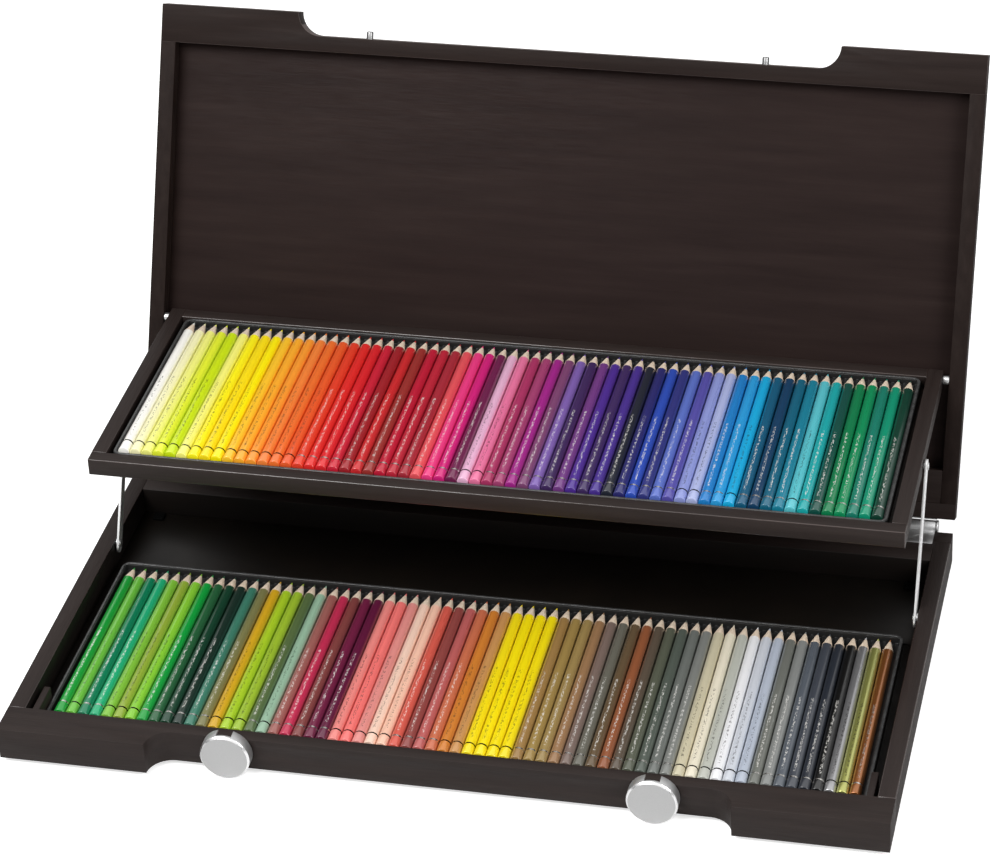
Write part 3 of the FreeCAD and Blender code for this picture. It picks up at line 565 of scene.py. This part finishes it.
lower_colours = {
    "green": "1C9638 68B63E 107A54 22A874 7CBA3A 8EA838 84C636 149A3C 265C38 173F2C",
    "olive": "1C3028 3C7864 78764A CEA220 A4C628 98B830 54683F",
    "crimson": "92B49A 9A5E58 BC2E50 7E403E 6E2040 5E1A3A",
    "flesh": "E88680 F07672 DE8C86 F0CCB8 F2C0A8 D25A4C 8E4642 B85E5C C66C4C CC7C30",
    "ochre": "C48E54 F0D816 F4DE10 F2DC10 F0DA14 9A7846 9A8048 98804E",
    "brown": "967250 78665E 66645A 62503A 8E5436 5A4E42",
    "grey": "565A4C 525A52 6A6E6A 7C7E7A C6BEA2 E4DCC6 B6B8AE EAEAEC C8CCD4 B0B8C6 6C6E68 828482 "
            "545A62 40444C 2A2E36 141414",
    "metallic": "B8B8BA C6C872 B4703C",
}


def pigment(code):
    """A lacquer's colour from its six-digit code, as linear light."""
    parts = [int(code[i:i + 2], 16) / 255 for i in (0, 2, 4)]
    return [part / 12.92 if part <= 0.04045 else ((part + 0.055) / 1.055) ** 2.4 for part in parts]


def foil_on(colour):
    """The foil looks silver on dark lacquer and black on pale."""
    light = 0.3 * colour[0] + 0.6 * colour[1] + 0.1 * colour[2]
    return SILVER if light < PALE else BLACK


def tint(mesh, name, colour):
    """Give every corner of a mesh one colour."""
    layer = mesh.color_attributes.new(name, "FLOAT_COLOR", "CORNER")
    layer.data.foreach_set("color", [*colour, 1.0] * len(layer.data))


def copies(model, name, spots, colours):
    """Copies of a model at each spot, each with its own mesh and colours, joined."""
    made = []
    for spot, colour in zip(spots, colours):
        mesh = model.data.copy()
        mesh.transform(Matrix.Translation(spot))
        tint(mesh, "pigment", colour)
        tint(mesh, "foil", foil_on(colour))
        item = bpy.data.objects.new(name, mesh)
        bpy.context.scene.collection.objects.link(item)
        made.append(item)
    only(*made)
    bpy.ops.object.join()
    joined = bpy.context.object
    joined.name = name
    return joined


def lay_pencils(tier, body, families):
    """One tray's row of pencils, family by family from the left, and their leads."""
    leads_node = tier + "_pencil_leads"
    low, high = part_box(leads_node)
    start_y = low[1]
    axis_z = (low[2] + high[2]) / 2
    tints = [pigment(code) for codes in families.values() for code in codes.split()]
    spots = [Vector(((i - (len(tints) - 1) / 2) * PITCH, start_y, axis_z)) for i in range(len(tints))]
    casing_model = make_casing(lacquer(tier + " pencil lacquer", start_y), cedar, ring_foil)
    first = 0
    for family, codes in families.items():
        last = first + len(codes.split())
        node = tier + "_pencils_" + family
        pencils = copies(casing_model, node + "_casings", spots[first:last], tints[first:last])
        first = last
        if family == "metallic":
            pencils.data.materials[0] = lacquer("metallic pencil lacquer", start_y, metallic=0.75)
        stand_for(pencils, node, body)
    bpy.data.objects.remove(casing_model)
    leads = copies(lead_model, tier + "_coloured_leads", spots, tints)
    stand_for(leads, leads_node, body)


cedar = bare_cedar()
ring_foil = foil()
lead_model = make_lead(wax_lead())
lay_pencils("upper", "tray", upper_colours)
lay_pencils("lower", "base", lower_colours)
bpy.data.objects.remove(lead_model)

# ---- Steel links, pins and hinges --------------------------------------------------------
# Flat bars brushed along their length, turned pins with fine rings, and hinge leaves
# with their screws, all of plain steel. The two links are the brightest and the
# latch pins in the lid the darkest.


def brushed_steel(name, tone, rough=0.30):
    finish = Finish(name)
    lines = finish.pattern(scale=8.0, detail=3.0, rough=0.5, stretch=(400, 60, 60))
    finish.drive("Base Color", lines, (0.3, tone * 0.85), (0.7, tone))
    finish.drive("Roughness", lines, (0.3, rough + 0.10), (0.7, rough))
    finish.bump(lines, strength=0.10, distance=0.00005)
    finish.set(Metallic=1.0)
    return finish.material


def metal_piece(node, body, material, ease=0.00025):
    piece = copy_of_node(node, node + "_metal")
    ease_edges(piece, ease)
    piece.data.materials.append(material)
    stand_for(piece, node, body)
    return piece


steel = brushed_steel("brushed steel", 0.72, rough=0.34)
bright_steel = brushed_steel("satin steel of the links", 0.95, rough=0.45)
for link in ("link_left", "link_right"):
    metal_piece(link, link, bright_steel)
for node in ("link_base_pins", "base_hinge_leaves", "base_hinge_screws", "hinge_pins"):
    metal_piece(node, "base", steel)
for node in ("tray_pivot_pins", "lid_hinge_leaves", "lid_hinge_screws"):
    metal_piece(node, "lid", steel)
metal_piece("link_tray_pins", "tray", steel)
metal_piece("latch_pins", "lid", brushed_steel("dark steel of the latch pins", 0.30))

# ---- Latch cups ---------------------------------------------------------------------------
# Turned aluminium cups with a bead-blasted face, a polished bevel and a turned wall.
# A slot in the wall takes the latch pin. The spindle turns in a bush in the base.

ON_FACE = 0.998     # how far a face of the mesh looks forward
ON_BEVEL = 0.6


def turned_aluminium(name, tone, rough, grain):
    finish = Finish(name)
    blast = finish.pattern(scale=2400.0, detail=2.0, rough=0.5)
    finish.drive("Base Color", blast, (0.3, tone), (0.7, tone * 1.13))
    finish.drive("Roughness", blast, (0.3, rough * 1.25), (0.7, rough))
    finish.bump(blast, strength=grain, distance=0.00005)
    finish.set(Metallic=1.0)
    return finish.material


blasted_face = turned_aluminium("blasted aluminium face", tone=0.42, rough=0.30, grain=0.15)
polished_bevel = turned_aluminium("polished aluminium bevel", tone=0.80, rough=0.24, grain=0.02)
turned_wall = turned_aluminium("turned aluminium wall", tone=0.60, rough=0.42, grain=0.05)
for side in ("left", "right"):
    cup = metal_piece("knob_" + side, "knob_" + side, blasted_face, ease=0.0003)
    cup.data.materials.append(polished_bevel)
    cup.data.materials.append(turned_wall)
    for face in cup.data.polygons:
        forward = -face.normal.y
        face.material_index = 0 if forward > ON_FACE else 1 if forward > ON_BEVEL else 2
    metal_piece("knob_spindle_" + side, "knob_" + side, steel)
metal_piece("knob_bushes", "base", brushed_steel("bush metal", 0.5), ease=0.0001)

# ---- Feet and pads ---------------------------------------------------------------------------
# Pressed rubber discs glued under the base's corners, and two small pads on the
# liner. Dust greys the feet a little. The pads are the same rubber set much darker,
# as painted shade for the dark inside of the case.


def rubber(name, low, high):
    finish = Finish(name)
    dust = finish.pattern(scale=240.0, detail=4.0, rough=0.6)
    finish.drive("Base Color", dust, (0.3, low), (0.7, high))
    finish.drive("Roughness", dust, (0.3, 0.72), (0.7, 0.60))
    finish.bump(dust, strength=0.2, distance=0.0002)
    finish.set(Specular_IOR_Level=low * 12)
    return finish.material


# The pads' much darker tones are painted shade for the inside of the case.
for node, tones in (("feet", (0.012, 0.028)), ("floor_pads", (0.0015, 0.003))):
    piece = copy_of_node(node, node + "_rubber")
    ease_edges(piece, width=0.0006, segments=3)
    piece.data.materials.append(rubber("rubber of the " + node, *tones))
    stand_for(piece, node, "base")

# ---- Floor, light and camera -------------------------------------------------------------------
# A plain white studio: a wide floor, two large soft lamps and a long lens. Camera rays
# see a pale backdrop, and glossy ones a sky that is bright above and grey at its foot.

FLOOR_SIZE = 14
FLOOR_GLOW = 0.62
ROOM_LIGHT = 0.40
AIM = (0, -0.08, 0.1)
FOCAL_LENGTH = 136.54
EYE = (0.5366, -2.1281, 1.5676)

bpy.ops.object.select_all(action="DESELECT")
bpy.ops.mesh.primitive_plane_add(size=FLOOR_SIZE, location=(0, 0, 0))
floor = bpy.context.object
floor.name = "studio_floor"
paint = Finish("studio floor")
paint.set(Base_Color=(0.86, 0.86, 0.86, 1), Roughness=0.9, Emission_Color=(1, 1, 1, 1))
seen = paint.add("LightPath").outputs["Is Camera Ray"]
paint.feed(paint.shader.inputs["Emission Strength"], maths(paint, "MULTIPLY", seen, FLOOR_GLOW))
floor.data.materials.append(paint.material)

world = bpy.data.worlds.new("studio")
bpy.context.scene.world = world
world.use_nodes = True
room = NodeWork(world.node_tree)
sky = room.nodes["Background"]
sky.inputs["Color"].default_value = (1, 1, 1, 1)
sky.inputs["Strength"].default_value = ROOM_LIGHT
backdrop = room.add("Background")
mirror = room.add("Background")
ways = room.add("TexCoord")
height = room.add("SeparateXYZ")
room.feed(height.inputs[0], ways.outputs["Generated"])
glow = room.ramp(height.outputs["Z"], (0.0, 0.16), (0.22, 0.30), (0.55, 1.0))
room.feed(mirror.inputs["Color"], glow)
rays = room.add("LightPath")
for ray, background in (("Is Glossy Ray", mirror), ("Is Camera Ray", backdrop)):
    choice = room.add("MixShader")
    room.feed(choice.inputs["Fac"], rays.outputs[ray])
    room.feed(choice.inputs[1], sky.outputs[0])
    room.feed(choice.inputs[2], background.outputs[0])
    sky = choice
room.feed(room.nodes["World Output"].inputs["Surface"], sky.outputs[0])


def softbox(name, place, size, power):
    """A flat soft lamp, aimed at the case."""
    lamp = bpy.data.lights.new(name, "AREA")
    lamp.shape = "RECTANGLE"
    lamp.size, lamp.size_y = size
    lamp.energy = power
    holder = bpy.data.objects.new(name, lamp)
    bpy.context.scene.collection.objects.link(holder)
    holder.location = place
    holder.rotation_euler = (Vector(AIM) - Vector(place)).to_track_quat("-Z", "Y").to_euler()


softbox("main_softbox", place=(-1.2, -1.48, 2.4), size=(1.8, 1.4), power=80)
softbox("fill_softbox", place=(1.9, -0.88, 1.4), size=(1.2, 1.2), power=30)

camera = bpy.data.objects.new("camera", bpy.data.cameras.new("camera"))
bpy.context.scene.collection.objects.link(camera)
bpy.context.scene.camera = camera
camera.data.sensor_width = 36
camera.data.lens = FOCAL_LENGTH
camera.data.clip_end = 50
azimuth, elevation, roll = radians(14.3), radians(33.0), radians(-3.0)
ahead = Vector((-sin(azimuth) * cos(elevation), cos(azimuth) * cos(elevation), -sin(elevation)))
right = Vector((cos(azimuth), sin(azimuth), 0))
up = right.cross(ahead)
across = right * cos(roll) + up * sin(roll)
upward = up * cos(roll) - right * sin(roll)
turn = Matrix((across, upward, -ahead)).transposed().to_4x4()
camera.matrix_world = Matrix.Translation(EYE) @ turn

bpy.context.scene.view_settings.view_transform = "Standard"
